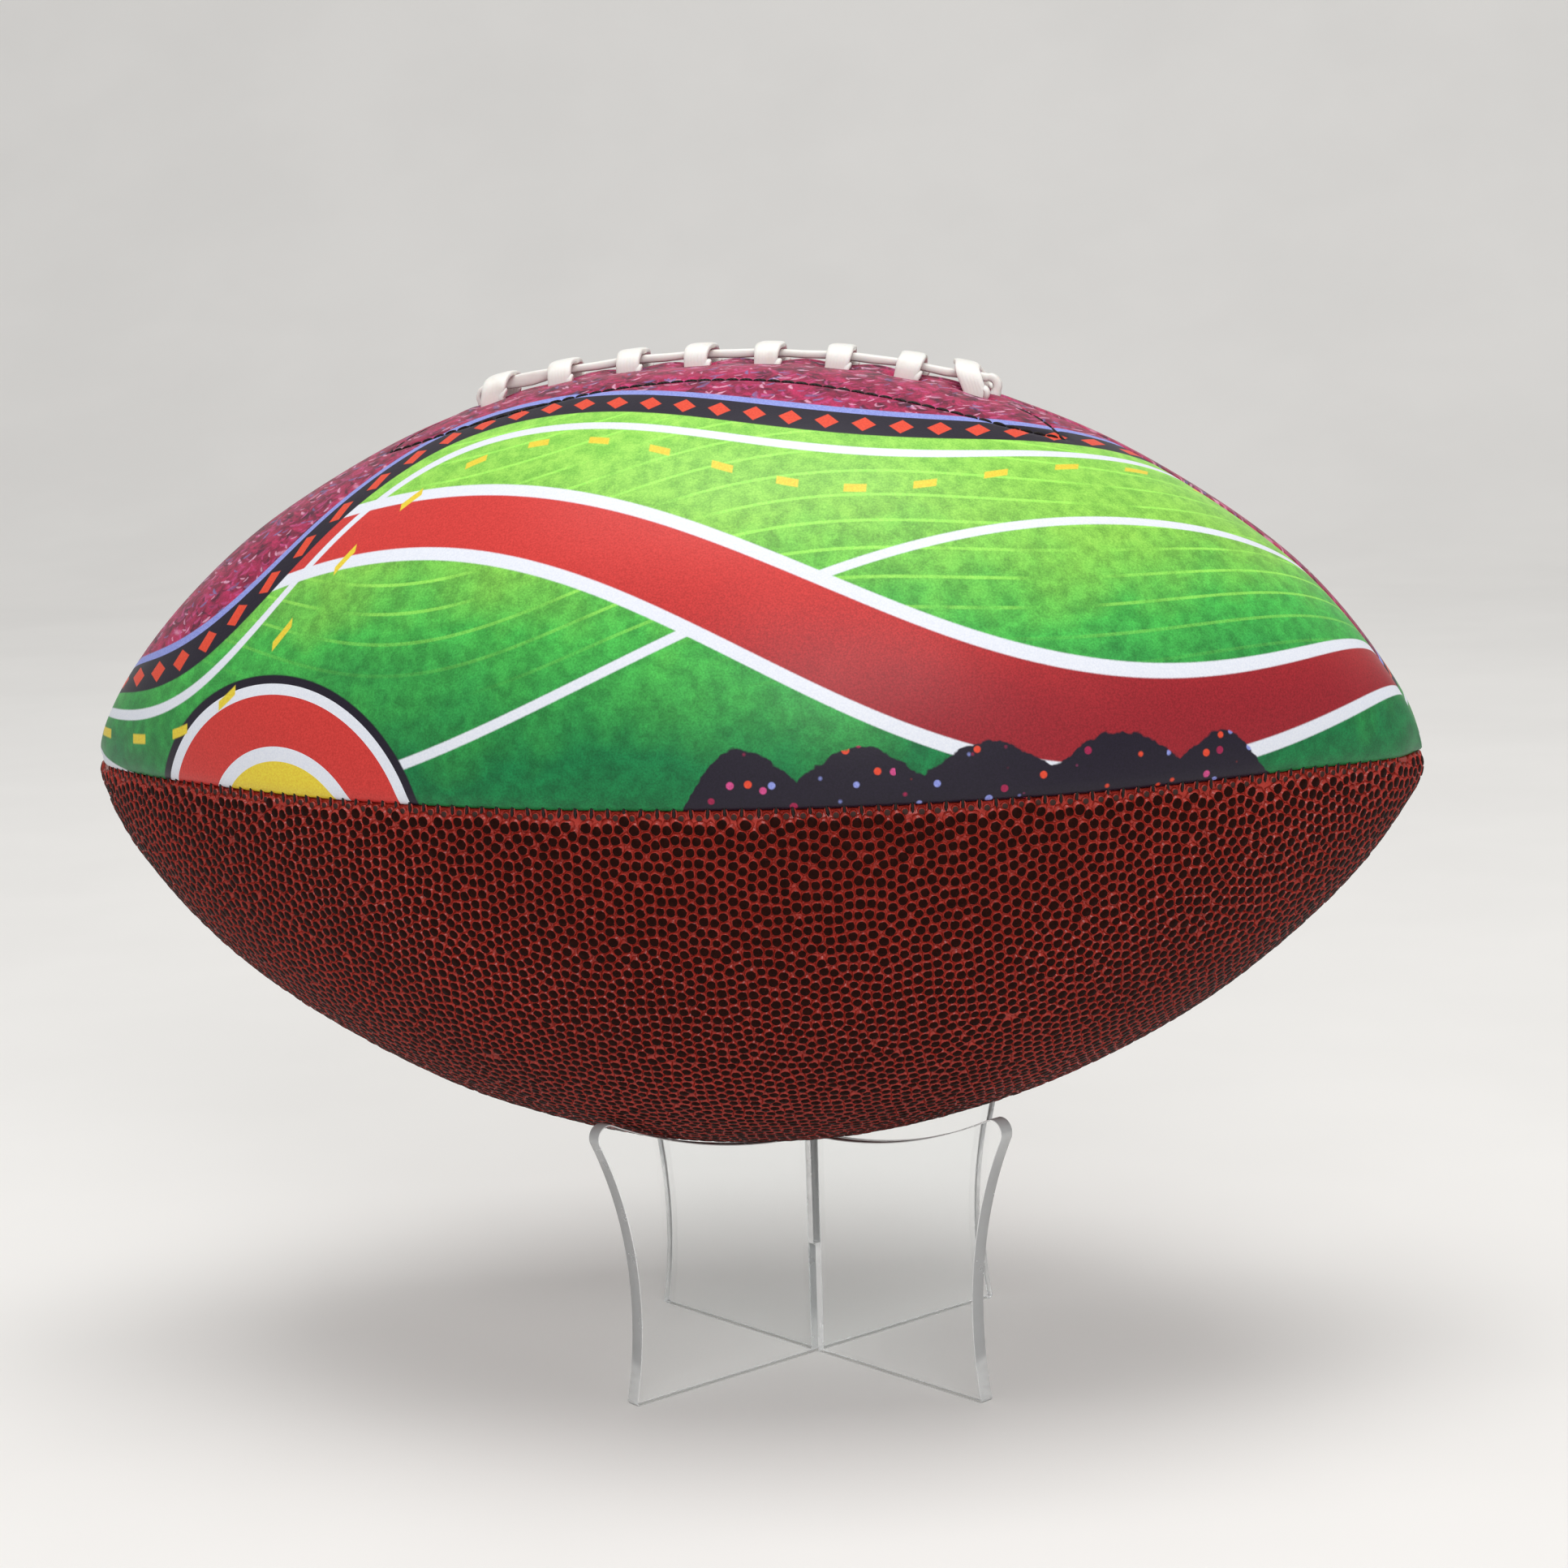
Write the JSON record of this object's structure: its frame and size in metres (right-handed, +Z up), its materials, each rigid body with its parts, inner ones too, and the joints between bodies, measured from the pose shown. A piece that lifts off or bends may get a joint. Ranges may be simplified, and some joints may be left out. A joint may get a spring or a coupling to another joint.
{
  "type": "football on display stand",
  "caption": "Laced, panelled prolate ball with an inner bladder, resting in the cradle of a clear stand made of two slotted, crossing plates.",
  "frame": {"origin": "on the floor under the middle of the ball", "axes": "+X along the ball's long axis, +Y to the back, +Z up; the laces face +Z"},
  "size_m": [0.285, 0.1664, 0.2185],
  "materials": {
    "acrylic": "clear cast acrylic, polished edges",
    "printed_cover": "smooth printed composite leather, satin",
    "pebbled_cover": "pebbled red-brown composite leather",
    "lining_cloth": "plain woven cotton lining",
    "facing_cloth": "heavy woven facing",
    "bladder_rubber": "black rubber",
    "valve_rubber": "black moulded rubber",
    "tongue_cloth": "stiff lined tongue",
    "lace": "smooth white flat lacing",
    "thread": "waxed black sewing thread"
  },
  "bodies": {
    "stand_lower": {"stand_plate_lower": "acrylic"},
    "stand_upper": {"stand_plate_upper": "acrylic"},
    "ball": {"panel_print_front": "printed_cover", "panel_print_back": "printed_cover", "panel_pebble_front": "pebbled_cover", "panel_pebble_back": "pebbled_cover", "lining_print_front": "lining_cloth", "lining_print_back": "lining_cloth", "lining_pebble_front": "lining_cloth", "lining_pebble_back": "lining_cloth", "facing_front": "facing_cloth", "facing_back": "facing_cloth", "bladder": "bladder_rubber", "valve": "valve_rubber", "lace_tongue": "tongue_cloth", "lengthwise_lace": "lace", "cross_lace_1": "lace", "cross_lace_2": "lace", "cross_lace_3": "lace", "cross_lace_4": "lace", "cross_lace_5": "lace", "cross_lace_6": "lace", "cross_lace_7": "lace", "cross_lace_8": "lace", "seam_thread_front": "thread", "seam_thread_back": "thread", "seam_thread_bottom": "thread", "seam_thread_top": "thread", "facing_stitches_front": "thread", "facing_stitches_back": "thread"}
  },
  "joints": [
    {"name": "plate_slide", "type": "slide", "parent": "stand_lower", "child": "stand_upper", "axis": [0, 0, 1], "range_m": [0, 0.07]},
    {"name": "ball_lift", "type": "slide", "parent": "stand_upper", "child": "ball", "axis": [0, 0, 1], "range_m": [0, 0.12]}
  ]
}
